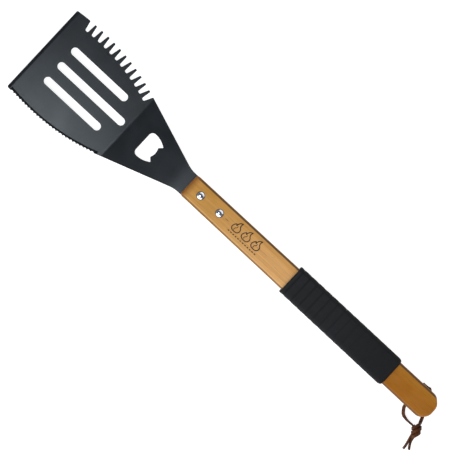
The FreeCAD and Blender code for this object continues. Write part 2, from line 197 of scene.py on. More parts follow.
def spline_mesh(points: list[Place], steps: int, bevel: float = 0.0, closed: bool = False) -> bpy.types.Mesh:
    """Run a smooth spline past some points and read it as a mesh.

    Args:
        points: Its control points, in metres.
        steps: The steps from one to the next.
        bevel: The radius of a tube round it, or 0 for a bare line.
        closed: Whether it comes back to its start.

    Returns:
        The mesh.
    """
    curve = bpy.data.curves.new("spline", "CURVE")
    curve.dimensions = "3D"
    curve.bevel_depth = bevel
    curve.bevel_resolution = 2
    curve.use_fill_caps = True
    curve.resolution_u = steps
    spline = curve.splines.new("NURBS")
    spline.points.add(len(points) - 1)
    for point, place in zip(spline.points, points):
        point.co = (*place, 1.0)
    spline.order_u = 3
    spline.use_cyclic_u = closed
    spline.use_endpoint_u = not closed
    holder = bpy.data.objects.new("spline", curve)
    mesh = bpy.data.meshes.new_from_object(holder)
    bpy.data.objects.remove(holder)
    return mesh


# --- shading ---
class Shading:
    """One material and the short calls that build its node tree."""

    def __init__(self, name: str) -> None:
        """Start a material with a Principled shader and nothing on it.

        Args:
            name: The material's name.
        """
        self.material = bpy.data.materials.new(name)
        self.material.use_nodes = True
        self.tree = self.material.node_tree
        self.tree.nodes.clear()
        self.shader = self.node("ShaderNodeBsdfPrincipled")
        output = self.node("ShaderNodeOutputMaterial")
        self.tree.links.new(self.shader.outputs["BSDF"], output.inputs["Surface"])

    def node(self, kind: str, inputs: dict[str | int, object] | None = None,
             **settings: object) -> bpy.types.Node:
        """Add a node, set its properties and feed its inputs.

        Args:
            kind: The node's type.
            inputs: Sockets or plain values, by input.
            **settings: Properties of the node.

        Returns:
            The node.
        """
        made = self.tree.nodes.new(kind)
        for name, value in settings.items():
            setattr(made, name, value)
        for name, value in (inputs or {}).items():
            self.feed(made.inputs[name], value)
        return made

    def feed(self, socket: Socket, value: object) -> None:
        """Link a socket to another one, or set it to a plain value.

        Args:
            socket: The input socket.
            value: An output socket, a number or a colour.
        """
        if isinstance(value, Socket):
            self.tree.links.new(value, socket)
        elif isinstance(value, tuple) and socket.type == "RGBA":
            socket.default_value = (*value, 1.0)
        else:
            socket.default_value = value

    def set(self, **inputs: object) -> None:
        """Feed the shader's own inputs.

        Args:
            **inputs: Sockets, numbers or colours, named in lower case with underscores.
        """
        names = {socket.name.lower().replace(" ", "_"): socket for socket in self.shader.inputs}
        for name, value in inputs.items():
            self.feed(names[name], value)

    def place(self, scale: Place = (1.0, 1.0, 1.0), shift: Place = (0.0, 0.0, 0.0),
              turn: Place = (0.0, 0.0, 0.0)) -> Socket:
        """Object coordinates through a Mapping node.

        Args:
            scale: Scale of the pattern's axes.
            shift: Shift of the pattern.
            turn: Turn of the pattern, in degrees.

        Returns:
            The vector socket.
        """
        inputs = {"Vector": self.node("ShaderNodeTexCoord").outputs["Object"], "Scale": scale,
                  "Location": shift, "Rotation": tuple(math.radians(angle) for angle in turn)}
        return self.node("ShaderNodeMapping", inputs).outputs["Vector"]

    def axis(self, letter: str) -> Socket:
        """One of the Object coordinates.

        Args:
            letter: X, Y or Z.

        Returns:
            The coordinate, in metres.
        """
        source = self.node("ShaderNodeTexCoord").outputs["Object"]
        return self.node("ShaderNodeSeparateXYZ", {"Vector": source}).outputs[letter]

    def attribute(self, name: str) -> Socket:
        """The number that a mesh attribute holds."""
        return self.node("ShaderNodeAttribute", attribute_name=name).outputs["Fac"]

    def reach(self, centre: Place, radii: Place) -> Socket:
        """How far a point is from a centre.

        Args:
            centre: The centre.
            radii: What counts as a distance of 1 along each axis.

        Returns:
            The distance.
        """
        scale = tuple(1.0 / radius for radius in radii)
        shift = tuple(-middle * size for middle, size in zip(centre, scale))
        return self.node("ShaderNodeVectorMath", {0: self.place(scale, shift)},
                         operation="LENGTH").outputs["Value"]

    def noise(self, vector: Socket, scale: float, detail: float = 3.0, rough: float = 0.5,
              bend: float = 0.0) -> Socket:
        """Fractal noise.

        Args:
            vector: Where to read it.
            scale: Its scale.
            detail: Its octaves.
            rough: The share that each finer octave keeps.
            bend: Its distortion.

        Returns:
            The noise's value, about 0.25 to 0.75.
        """
        inputs = {"Vector": vector, "Scale": scale, "Detail": detail, "Roughness": rough, "Distortion": bend}
        return self.node("ShaderNodeTexNoise", inputs).outputs["Fac"]

    def cells(self, vector: Socket, scale: float, feature: str = "F1") -> Socket:
        """Voronoi cells.

        Args:
            vector: Where to read them.
            scale: Their scale.
            feature: What the distance is counted from.

        Returns:
            The distance from each cell's middle or edge.
        """
        inputs = {"Vector": vector, "Scale": scale}
        return self.node("ShaderNodeTexVoronoi", inputs, feature=feature).outputs["Distance"]

    def spread(self, value: Socket, low: float, high: float, new_low: float = 0.0,
               new_high: float = 1.0) -> Socket:
        """Carry a value from one range to another, smoothly and clamped.

        Args:
            value: The value.
            low: Start of its range.
            high: End of its range.
            new_low: The result at low.
            new_high: The result at high.

        Returns:
            The new value.
        """
        inputs = {"Value": value, "From Min": low, "From Max": high, "To Min": new_low, "To Max": new_high}
        return self.node("ShaderNodeMapRange", inputs, interpolation_type="SMOOTHSTEP").outputs["Result"]

    def maths(self, operation: str, first: object, second: object = 0.0) -> Socket:
        """One step of arithmetic.

        Args:
            operation: The Math node's operation.
            first: A number or socket.
            second: A number or socket.

        Returns:
            The result.
        """
        return self.node("ShaderNodeMath", {0: first, 1: second}, operation=operation).outputs["Value"]

    def blend(self, share: object, first: object, second: object) -> Socket:
        """Mix two colours.

        Args:
            share: The second colour's share.
            first: A colour or socket.
            second: A colour or socket.

        Returns:
            The mixed colour.
        """
        return self.node("ShaderNodeMix", {0: share, 6: first, 7: second}, data_type="RGBA").outputs[2]

    def bump(self, height: Socket, strength: float, depth: float, under: Socket | None = None) -> Socket:
        """A bump from a height.

        Args:
            height: The height, 0 to 1.
            strength: Its strength, 0 to 1.
            depth: The depth that a height of 1 stands for, in metres.
            under: A bump below this one.

        Returns:
            The normal.
        """
        inputs = {"Height": height, "Strength": strength, "Distance": depth}
        if under is not None:
            inputs["Normal"] = under
        return self.node("ShaderNodeBump", inputs).outputs["Normal"]


# --- finishes ---
@dataclass(frozen=True)
class CoatedSteel:
    """Satin charcoal non-stick coating on sheet steel, and a black band of painted reflection along the
    knife edge, which stands for its ground bevel mirroring the dark room.
    """

    dark: Colour = srgb(16, 18, 21)
    light: Colour = srgb(24, 27, 31)
    # colour of the painted dark reflection in the knife edge's ground bevel
    bevel_shade: Colour = srgb(12, 13, 15)
    roughness: float = 0.32
    edge_centre: Place = (-229.95 * MM, 171.4 * MM, 0.0)
    edge_radius: float = 225.0 * MM
    bevel_shade_width: float = 3.2 * MM
    bevel_shade_start: float = -262.0 * MM
    bevel_shade_end: float = -155.5 * MM
    width_blur: float = 0.15 * MM
    end_blur: float = 0.3 * MM
    knife_half: float = -10.0 * MM

    def painted_bevel_shade(self, made: Shading) -> Socket:
        """Where the knife edge's ground bevel gets its painted dark reflection.

        Args:
            made: The material.

        Returns:
            The band's share, 0 or 1 apart from a hair's breadth between.
        """
        across = made.reach(self.edge_centre, (1.0, 1.0, FAR))
        inner = self.edge_radius - self.bevel_shade_width
        band = made.spread(across, inner, inner + self.width_blur)
        along = made.axis("X")
        start = made.spread(along, self.bevel_shade_start, self.bevel_shade_start + self.end_blur)
        end = made.spread(along, self.bevel_shade_end, self.bevel_shade_end - self.end_blur)
        ends = made.maths("MULTIPLY", start, end)
        knife_side = made.spread(made.axis("Y"), self.knife_half, self.knife_half - 1.0 * MM)
        return made.maths("MULTIPLY", band, made.maths("MULTIPLY", ends, knife_side))

    def material(self) -> bpy.types.Material:
        """Build the coating: fine speckle, orange peel, faint rubbing marks and the painted reflection of
        the knife edge's bevel.

        Returns:
            The material.
        """
        made = Shading("coated_steel")
        fine = made.noise(made.place(), 2600.0, 2.0)
        cloud = made.noise(made.place(), 26.0, 4.0, 0.6)
        rubs = made.noise(made.place((30.0, 900.0, 900.0), turn=(0.0, 0.0, 8.0)), 1.0, 2.0, 0.4)
        tone = made.maths("ADD", made.spread(fine, 0.3, 0.7, 0.1, 0.35),
                          made.spread(cloud, 0.35, 0.65, 0.0, 0.55))
        satin = made.spread(cloud, 0.3, 0.7, self.roughness - 0.03, self.roughness + 0.03)
        rough = made.maths("ADD", satin, made.spread(rubs, 0.62, 0.74, 0.0, -0.02))
        peel = made.bump(made.noise(made.place(), 900.0, 2.0), 0.35, 0.05 * MM)
        # painted reflection: a black metallic band stands for the dark room mirrored in the knife edge's
        # ground bevel
        band = self.painted_bevel_shade(made)
        base = made.blend(tone, self.dark, self.light)
        made.set(base_color=made.blend(band, base, self.bevel_shade), metallic=band, roughness=rough,
                 normal=made.bump(fine, 0.25, 0.02 * MM, peel))
        return made.material


@dataclass(frozen=True)
class OiledWood:
    """Straight-grained honey wood under a satin oil: ochre towards the comb side, browner at the butt.

    The painted shade and painted highlight bands along the long edges are given by how far inside the side
    face they begin and are full.
    """

    front: Colour = srgb(186, 135, 52)
    middle: Colour = srgb(222, 170, 108)
    butt: Colour = srgb(158, 96, 8)
    ochre: Colour = srgb(172, 118, 26)
    streak: Colour = srgb(140, 84, 24)
    pale: Colour = srgb(208, 152, 84)
    # colour of the painted highlight along the knife side's arris
    arris_highlight: Colour = srgb(236, 190, 134)
    singed: Colour = srgb(128, 74, 14)
    # colour of the painted shade on the round long edges
    edge_shade: Colour = srgb(76, 44, 4)
    # colour of the pores and the fleck, also used for the rings of painted contact shade round the rivets
    pore_and_ring_shade: Colour = srgb(70, 38, 16)
    front_end: float = -66.0 * MM
    grip_front: float = 72.0 * MM
    butt_front: float = 206.0 * MM
    singed_length: float = 9.0 * MM
    comb_shade: Band = (3.0 * MM, 1.8 * MM)
    comb_share: float = 0.95
    knife_shade: Band = (2.3 * MM, 1.3 * MM)
    knife_share: float = 0.72
    side_stain: Band = (0.5 * MM, 0.05 * MM)
    polish_outside: Band = (2.0 * MM, 2.7 * MM)
    polish_inside: Band = (3.5 * MM, 2.8 * MM)
    highlight_share: float = 0.35
    side_share: float = 0.35
    fleck: Place = (-14.5 * MM, 0.2 * MM, 22.1 * MM)
    fleck_size: Place = (3.4 * MM, 0.7 * MM, 4.0 * MM)
    rivet_ring: Band = (4.9 * MM, 4.1 * MM)
    rivets: tuple[Place, ...] = ()
    taper: HandleTaper = HandleTaper()

    def grain(self, made: Shading, fibres: Socket, pores: Socket) -> Socket:
        """Colour the clean wood: its tone along the handle, bands, clouds, fibres, pores and a fleck.

        Args:
            made: The material.
            fibres: The fibres' noise.
            pores: The pores' noise.

        Returns:
            The colour.
        """
        bands = made.noise(made.place((4.0, 210.0, 160.0), turn=(0.0, 0.0, 0.6)), 1.0, 3.0, 0.5, 0.4)
        clouds = made.noise(made.place((34.0, 90.0, 90.0)), 1.0, 4.0, 0.6)
        along = made.axis("X")
        base = made.blend(made.spread(along, self.front_end, self.grip_front), self.front, self.middle)
        base = made.blend(made.spread(along, self.grip_front, self.butt_front), base, self.butt)
        base = made.blend(made.spread(made.axis("Y"), 1.0 * MM, 10.0 * MM, 0.0, 0.5), base, self.ochre)
        base = made.blend(made.spread(bands, 0.42, 0.72, 0.0, 0.3), base, self.streak)
        pale = made.maths("MULTIPLY", made.spread(clouds, 0.35, 0.7, 0.0, 0.35),
                          made.spread(along, self.grip_front, self.butt_front, 1.0, 0.3))
        base = made.blend(pale, base, self.pale)
        base = made.blend(made.spread(fibres, 0.5, 0.75, 0.0, 0.3), base, self.streak)
        base = made.blend(made.spread(pores, 0.66, 0.76, 0.0, 0.5), base, self.pore_and_ring_shade)
        fleck = made.spread(made.reach(self.fleck, self.fleck_size), 1.0, 0.3, 0.0, 0.6)
        return made.blend(fleck, base, self.pore_and_ring_shade)

    def paint_edge_shade_and_highlight(self, made: Shading, base: Socket) -> Socket:
        """Paint shade on the round long edges, more on the comb side, and a painted highlight along the
        knife side's arris.

        Args:
            made: The material.
            base: The wood's colour so far.

        Returns:
            The new colour.
        """
        slope = self.taper.half(1.0) - self.taper.half(0.0)
        side, along = made.axis("Y"), made.axis("X")
        half = made.maths("ADD", made.maths("MULTIPLY", along, slope), self.taper.half(0.0))
        inside = made.maths("SUBTRACT", half, made.maths("ABSOLUTE", side))
        comb = made.spread(side, -1.0 * MM, 1.0 * MM)
        knife = made.maths("SUBTRACT", 1.0, comb)
        # painted highlight along the knife side's arris, fading towards the butt
        painted_highlight = made.maths("MULTIPLY", made.spread(inside, *self.polish_outside),
                            made.spread(inside, *self.polish_inside))
        paler = made.spread(along, self.grip_front, self.butt_front, self.highlight_share, 0.0)
        painted_highlight = made.maths("MULTIPLY", made.maths("MULTIPLY", painted_highlight, paler), knife)
        base = made.blend(painted_highlight, base, self.arris_highlight)
        # painted shade on the round long edges, strongest on the comb side and eased off on the flat side
        # faces
        edge_shades = [made.maths("MULTIPLY", where, made.spread(inside, *band, 0.0, share))
                  for where, band, share in ((comb, self.comb_shade, self.comb_share),
                                             (knife, self.knife_shade, self.knife_share))]
        edge_shade = made.maths("MULTIPLY", made.maths("ADD", *edge_shades),
                           made.spread(inside, *self.side_stain, 1.0, self.side_share))
        return made.blend(edge_shade, base, self.edge_shade)

    def material(self) -> bpy.types.Material:
        """Build the wood: fibres and bands along X, painted shade and a painted highlight on the long edges,
        a singed front end, and rings of painted contact shade and stain round the rivets.

        Returns:
            The material.
        """
        made = Shading("oiled_wood")
        fibres = made.noise(made.place((22.0, 1500.0, 1500.0)), 1.0, 3.0, 0.55)
        pores = made.noise(made.place((60.0, 3600.0, 3600.0)), 1.0, 1.0, 0.5)
        base = self.paint_edge_shade_and_highlight(made, self.grain(made, fibres, pores))
        singed = made.spread(made.axis("X"), self.front_end + self.singed_length, self.front_end, 0.0, 0.85)
        base = made.blend(singed, base, self.singed)
        # rings of painted contact shade and stain round each rivet
        for place in self.rivets:
            ring = made.spread(made.reach(place, (1.0, 1.0, FAR)), *self.rivet_ring)
            base = made.blend(made.maths("MULTIPLY", ring, 0.75), base, self.pore_and_ring_shade)
        rough = made.spread(fibres, 0.3, 0.7, 0.4, 0.5)
        ridges = made.bump(fibres, 0.3, 0.05 * MM)
        made.set(base_color=base, roughness=rough, specular_ior_level=0.3,
                 normal=made.bump(pores, 0.35, -0.06 * MM, ridges))
        return made.material


@dataclass(frozen=True)
class FoamRubber:
    """Black closed-cell foam rubber with a fine open skin, with painted shade in its rib grooves, along the
    comb side and towards the rear.
    """

    dark: Colour = srgb(20, 21, 23)
    light: Colour = srgb(32, 34, 37)
    foam_shade: Colour = srgb(8, 8, 9)
    groove: Band = (0.15, 0.06)
    groove_share: float = 0.62
    groove_rear: float = 20.0 * MM
    side_band: Band = (6.0 * MM, 2.0 * MM)
    side_share: float = 0.6
    unshaded_length: float = 40.0 * MM
    rear_share: float = 0.4

    def paint_foam_shade(self, made: Shading, base: Socket) -> Socket:
        """Paint shade into the grooves between the ribs, along the comb side and towards the rear end.

        Args:
            made: The material.
            base: The foam's colour so far.

        Returns:
            The new colour.
        """
        low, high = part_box("grip_sleeve")
        along = made.axis("X")
        # painted shade in the grooves between the ribs, fading towards the rear
        phase = made.maths("FRACT", made.maths("DIVIDE", made.maths("SUBTRACT", along, low.x), RIB_PITCH))
        off_groove = made.maths("ABSOLUTE", made.maths("SUBTRACT", phase, 0.5))
        fade = made.spread(along, low.x, high.x - self.groove_rear, 1.0, 0.1)
        groove = made.maths("MULTIPLY", made.spread(off_groove, *self.groove, 0.0, self.groove_share), fade)
        base = made.blend(groove, base, self.foam_shade)
        # painted shade along the comb side and towards the rear end
        start, full = (high.y - distance for distance in self.side_band)
        base = made.blend(made.spread(made.axis("Y"), start, full, 0.0, self.side_share), base, self.foam_shade)
        rear = made.spread(along, low.x + self.unshaded_length, high.x, 0.0, self.rear_share)
        return made.blend(rear, base, self.foam_shade)

    def material(self) -> bpy.types.Material:
        """Build the foam: cells, a powdery bloom, painted shade and a dull, rough skin.

        Returns:
            The material.
        """
        made = Shading("foam_rubber")
        cells = made.cells(made.place(), 1500.0)
        cloud = made.noise(made.place(), 60.0, 4.0, 0.6)
        grit = made.noise(made.place(), 4200.0, 2.0)
        tone = made.maths("ADD", made.spread(cloud, 0.35, 0.65, 0.0, 0.5),
                          made.spread(grit, 0.35, 0.7, 0.0, 0.5))
        skin = made.bump(cells, 0.5, 0.12 * MM)
        base = self.paint_foam_shade(made, made.blend(tone, self.dark, self.light))
        made.set(base_color=base, roughness=made.spread(cloud, 0.3, 0.7, 0.78, 0.9), specular_ior_level=0.25,
                 normal=made.bump(grit, 0.4, 0.05 * MM, skin))
        return made.material


@dataclass(frozen=True)
class PolishedMetal:
    """Bright nickel-plated rivet metal, with painted shade round each head's rim where it meets the wood."""

    bright: Colour = srgb(236, 238, 242)
    dull: Colour = srgb(196, 200, 208)
    rim_shade: Colour = srgb(78, 80, 86)
    rim: Band = (3.4 * MM, 3.9 * MM)
    beyond: Band = (4.6 * MM, 4.3 * MM)
    centres: tuple[Place, ...] = ()

    def material(self) -> bpy.types.Material:
        """Build the metal: slightly uneven plating, hairline scratches and painted shade round the rim.

        Returns:
            The material.
        """
        made = Shading("polished_rivet")
        cloud = made.noise(made.place(), 700.0, 3.0)
        hairs = made.noise(made.place((400.0, 9000.0, 400.0), turn=(0.0, 0.0, 35.0)), 1.0, 2.0)
        base = made.blend(made.spread(cloud, 0.35, 0.7), self.bright, self.dull)
        # painted shade round each head's rim, where it meets the wood
        for place in self.centres:
            head = made.reach(place, (1.0, 1.0, FAR))
            ring = made.maths("MULTIPLY", made.spread(head, *self.rim), made.spread(head, *self.beyond))
            base = made.blend(ring, base, self.rim_shade)
        made.set(base_color=base, metallic=1.0, roughness=made.spread(hairs, 0.35, 0.75, 0.12, 0.24),
                 normal=made.bump(hairs, 0.12, 0.01 * MM))
        return made.material


@dataclass(frozen=True)
class LaceLeather:
    """Brown rawhide lace: a smooth grain face, paler worn patches and darker cut edges."""

    grain: Colour = srgb(74, 38, 12)
    paler: Colour = srgb(106, 62, 22)
    cut: Colour = srgb(34, 16, 8)

    def material(self) -> bpy.types.Material:
        """Build the leather, with its pores by place and its cut edges by the lace's own width.

        Returns:
            The material.
        """
        made = Shading("lace_leather")
        patches = made.noise(made.place(), 240.0, 4.0, 0.6)
        pores = made.cells(made.place(), 2600.0)
        creases = made.cells(made.place(), 620.0, "DISTANCE_TO_EDGE")
        fibres = made.noise(made.place(), 3200.0, 3.0, 0.6)
        edge = made.spread(made.maths("ABSOLUTE", made.attribute("across")), 0.72, 0.98)
        base = made.blend(made.spread(patches, 0.42, 0.7, 0.0, 0.75), self.grain, self.paler)
        base = made.blend(made.spread(creases, 0.0, 0.06, 0.55, 0.0), base, self.cut)
        base = made.blend(made.maths("MULTIPLY", edge, 0.8), base, self.cut)
        base = made.blend(made.spread(fibres, 0.5, 0.75, 0.0, 0.3), base, self.cut)
        wrinkles = made.bump(made.spread(creases, 0.0, 0.12), 0.6, 0.1 * MM)
        made.set(base_color=base, roughness=made.spread(edge, 0.0, 1.0, 0.6, 0.85), specular_ior_level=0.15,
                 normal=made.bump(pores, 0.4, 0.06 * MM, wrinkles))
        return made.material


@dataclass(frozen=True)
class BurnedMark:
    """Wood scorched dark brown by a hot stamp."""

    char: Colour = srgb(34, 19, 12)
    singed: Colour = srgb(66, 38, 20)

    def material(self) -> bpy.types.Material:
        """Build the scorched wood: uneven depth of burn and a dry, rough surface.

        Returns:
            The material.
        """
        made = Shading("burned_mark")
        depth = made.noise(made.place((300.0, 1200.0, 1200.0)), 1.0, 3.0, 0.6)
        made.set(base_color=made.blend(made.spread(depth, 0.45, 0.72), self.char, self.singed),
                 roughness=made.spread(depth, 0.3, 0.7, 0.6, 0.8), normal=made.bump(depth, 0.4, 0.04 * MM))
        return made.material


@dataclass(frozen=True)
class TableTop:
    """Plain white table top with a glow of its own, which keeps shadows off it."""

    white: Colour = (0.5, 0.5, 0.5)
    glow: float = 0.85

    def material(self) -> bpy.types.Material:
        """Build the table top.

        Returns:
            The material.
        """
        made = Shading("table_top")
        made.set(base_color=self.white, roughness=0.9, specular_ior_level=0.1,
                 emission_color=(1.0, 1.0, 1.0), emission_strength=self.glow)
        return made.material


# --- sub-assemblies ---
@dataclass
class Blade:
    """The one-piece steel sheet: slotted blade, comb, knife edge, opener neck and tang."""

    finish: CoatedSteel = field(default_factory=CoatedSteel)

    def build(self) -> list[bpy.types.Object]:
        """Dress the sheet in its coating.

        Returns:
            The pieces of this sub-assembly.
        """
        sheet = frame["nodes"]["blade"]
        dress(sheet, self.finish.material())
        return [sheet]


@dataclass
class Handle:
    """The one-piece wooden handle and the ornament burned into its upper face.

    The flame's outline and its inner tongue are in shares of the flame's width and height, from the
    middle of its foot.
    """

    mark: BurnedMark = field(default_factory=BurnedMark)
    flames: int = 3
    flame_pitch: float = 13.0 * MM
    flame_height: float = 11.5 * MM
    flame_width: float = 10.0 * MM
    flame_foot: float = -3.4 * MM
    first_flame: float = -2.0 * MM
    flame: tuple[Band, ...] = (
        (0.0, 0.0), (0.3, 0.01), (0.48, 0.2), (0.46, 0.44), (0.27, 0.6), (0.19, 0.76), (0.27, 1.0),
        (0.27, 1.0), (-0.02, 0.88), (-0.13, 0.66), (-0.12, 0.5), (-0.26, 0.66), (-0.26, 0.66),
        (-0.46, 0.42), (-0.48, 0.18), (-0.3, 0.01))
    tongue: tuple[Band, ...] = ((-0.12, 0.08), (-0.16, 0.28), (0.06, 0.4), (0.02, 0.56))
    dashes: int = 12
    dash_pitch: float = 3.2 * MM
    dash_length: float = 1.9 * MM
    dash_start: float = -7.4 * MM
    dash_line: float = -6.2 * MM
    proud: float = 0.05 * MM

    def build(self) -> list[bpy.types.Object]:
        """Dress the wood and lay the ornament on it.

        Returns:
            The pieces of this sub-assembly.
        """
        wood = frame["nodes"]["handle"]
        dress(wood, OiledWood(rivets=rivet_places()).material())
        return [wood, self.ornament(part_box("handle")[1].z)]

    def stroke(self, points: list[Band], weight: Stroke, closed: bool) -> bpy.types.Mesh:
        """Make one line of the ornament as a flattened tube.

        Args:
            points: Its control points in plan, in metres.
            weight: How bold the line is.
            closed: Whether it comes back to its start.

        Returns:
            The tube, flat on z = 0.
        """
        mesh = spline_mesh([(x, y, 0.0) for x, y in points], 6, weight.value, closed)
        mesh.transform(Matrix.Diagonal((1.0, 1.0, self.proud / weight.value, 1.0)))
        return mesh

    def strokes(self) -> list[bpy.types.Mesh]:
        """Make every line of the ornament: each flame with its tongue, then the dashes.

        Returns:
            The lines' tubes.
        """
        lines = []
        shapes = ((self.flame, Stroke.BOLD, True), (self.tongue, Stroke.FINE, False))
        for number in range(self.flames):
            middle = self.first_flame + number * self.flame_pitch
            for shares, weight, closed in shapes:
                points = [(middle + x * self.flame_width, self.flame_foot + y * self.flame_height)
                          for x, y in shares]
                lines.append(self.stroke(points, weight, closed))
        for number in range(self.dashes):
            start = self.dash_start + number * self.dash_pitch
            points = [(start + self.dash_length * share, self.dash_line) for share in (0.0, 0.5, 1.0)]
            lines.append(self.stroke(points, Stroke.BOLD, False))
        return lines

    def ornament(self, top: float) -> bpy.types.Object:
        """Make the flames and the row of dashes below them.

        Args:
            top: Height of the wood's upper face.

        Returns:
            The ornament's piece.
        """
        bm = bmesh.new()
        for mesh in self.strokes():
            bm.from_mesh(mesh)
            bpy.data.meshes.remove(mesh)
        bmesh.ops.translate(bm, vec=(0.0, 0.0, top), verts=bm.verts)
        piece = piece_from(bm, "burned_ornament")
        dress(piece, self.mark.material())
        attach(piece, ROOT_BODY)
        return piece


@dataclass
class GripSleeve:
    """The foam rubber sleeve on the handle, with its shallow moulded ribs."""

    finish: FoamRubber = field(default_factory=FoamRubber)
    edge_radius: float = 5.5 * MM
    corner_steps: int = 8
    ring_step: float = 1.175 * MM
    rib_depth: float = 0.3 * MM
    rib_fade: float = 0.8
    front_round: Band = (0.9 * MM, 0.9 * MM)
    rear_round: Band = (4.6 * MM, 2.4 * MM)
    round_steps: int = 6
    tunnel_bite: float = 0.1 * MM
    tunnel_radius: float = 3.0 * MM
    sharp_angle: float = 50.0
    taper: HandleTaper = HandleTaper()

    def inset(self, x: float, start: float, end: float) -> float:
        """How far the surface lies inside the plain block at x.

        Args:
            x: Place along the sleeve.
            start: Its front end.
            end: Its rear end.

        Returns:
            The inset, in metres.
        """
        share = (x - start) / (end - start)
        wave = 0.5 - 0.5 * math.cos(2.0 * math.pi * (x - start) / RIB_PITCH)
        depth = self.rib_depth * (1.0 - self.rib_fade * share) * wave ** 3
        for distance, (length, drop) in ((x - start, self.front_round), (end - x, self.rear_round)):
            if distance < length:
                depth += drop * (1.0 - math.sqrt(1.0 - (1.0 - distance / length) ** 2))
        return depth

    def stations(self, start: float, end: float) -> list[float]:
        """Places of the rings along the sleeve, closer together in its round ends.

        Args:
            start: Its front end.
            end: Its rear end.

        Returns:
            The rings' places along X.
        """
        front, rear = self.front_round[0], self.rear_round[0]
        turns = [step / self.round_steps * math.pi / 2.0 for step in range(self.round_steps)]
        rings = [start + front * (1.0 - math.cos(turn)) for turn in turns]
        count = round((end - rear - start - front) / self.ring_step)
        rings += [start + front + (end - rear - start - front) * step / count for step in range(count + 1)]
        rings += [end - rear * (1.0 - math.cos(turn)) for turn in reversed(turns)]
        return rings

    def outline(self, bm: bmesh.types.BMesh, width: float, height: float, radius: float,
                middle: Vector) -> list[bmesh.types.BMEdge]:
        """Add an open outline that stands across X.

        Args:
            bm: The sleeve's bmesh.
            width: Its size along Y.
            height: Its size along Z.
            radius: Its corners' radius.
            middle: Its middle.

        Returns:
            Its edges.
        """
        known = set(bm.edges)
        corners = rounded_outline(bm, width, height, radius, self.corner_steps)
        upright = Matrix(((0, 0, 1, 0), (1, 0, 0, 0), (0, 1, 0, 0), (0, 0, 0, 1)))
        bmesh.ops.transform(bm, matrix=Matrix.Translation(middle) @ upright, verts=corners)
        edges = [edge for edge in bm.edges if edge not in known]
        faces = [face for face in bm.faces if face.verts[0] in corners]
        bmesh.ops.delete(bm, geom=faces, context="FACES_ONLY")
        return edges

    def skin(self, bm: bmesh.types.BMesh, low: Vector, high: Vector) -> tuple[list[bmesh.types.BMEdge], ...]:
        """Sweep the outer skin along the sleeve, ring by ring.

        Args:
            bm: The sleeve's bmesh.
            low: The plain block's low corner.
            high: Its high corner.

        Returns:
            The edges of the front ring and of the rear ring.
        """
        middle, size = (low + high) / 2.0, high - low
        about = Matrix.Translation((0.0, -middle.y, -middle.z))
        edges = self.outline(bm, size.y, size.z, self.edge_radius, Vector((0.0, middle.y, middle.z)))
        ring = list({vert for edge in edges for vert in edge.verts})
        front = edges
        before, previous = 0.0, 0.0
        for x in self.stations(low.x, high.x):
            if x > low.x:
                ring, edges = extruded(bm, edges)
            inset = self.inset(x, low.x, high.x)
            wide = (size.y - 2.0 * inset) / (size.y - 2.0 * before)
            tall = (size.z - 2.0 * inset) / (size.z - 2.0 * before)
            bmesh.ops.scale(bm, vec=(1.0, wide, tall), space=about, verts=ring)
            bmesh.ops.translate(bm, vec=(x - previous, 0.0, 0.0), verts=ring)
            before, previous = inset, x
        return front, edges

    def build(self) -> list[bpy.types.Object]:
        """Make the sleeve as an outer skin, a tunnel and two bridged ends.

        Returns:
            The pieces of this sub-assembly.
        """
        low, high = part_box("grip_sleeve")
        wood_low, wood_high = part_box("handle")
        height = wood_high.z - wood_low.z - 2.0 * self.tunnel_bite
        bm = bmesh.new()
        outer = self.skin(bm, low, high)
        inner = [self.outline(bm, 2.0 * (self.taper.half(x) - self.tunnel_bite), height, self.tunnel_radius,
                              Vector((x, 0.0, (wood_low.z + wood_high.z) / 2.0))) for x in (low.x, high.x)]
        for loops in (*zip(outer, inner), inner):
            bmesh.ops.bridge_loops(bm, edges=[*loops[0], *loops[1]])
        bmesh.ops.recalc_face_normals(bm, faces=list(bm.faces))
        sleeve = piece_from(bm, "foam_grip")
        sleeve.data.set_sharp_from_angle(angle=math.radians(self.sharp_angle))
        dress(sleeve, self.finish.material())
        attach(sleeve, ROOT_BODY)
        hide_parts("grip_sleeve")
        return [sleeve]


@dataclass
class Rivets:
    """The two cutlery rivets, each a front pin half and a back tube half."""

    finish: PolishedMetal = field(default_factory=lambda: PolishedMetal(centres=rivet_places()))

    def build(self) -> list[bpy.types.Object]:
        """Dress the rivet halves.

        Returns:
            The pieces of this sub-assembly.
        """
        metal = self.finish.material()
        halves = [frame["nodes"]["%s_rivet_%d" % (face, number)]
                  for face in ("front", "back") for number in RIVET_NUMBERS]
        for half in halves:
            dress(half, metal)
        return halves


@dataclass(frozen=True)
class Coil:
    """A half's turns in the knot: how far they reach along it, their angles, radius, swell and slant."""

    reach: float
    first: float
    last: float
    radius: float
    crown: float = 0.0
    crown_share: float = 0.2
    slant: float = 0.0


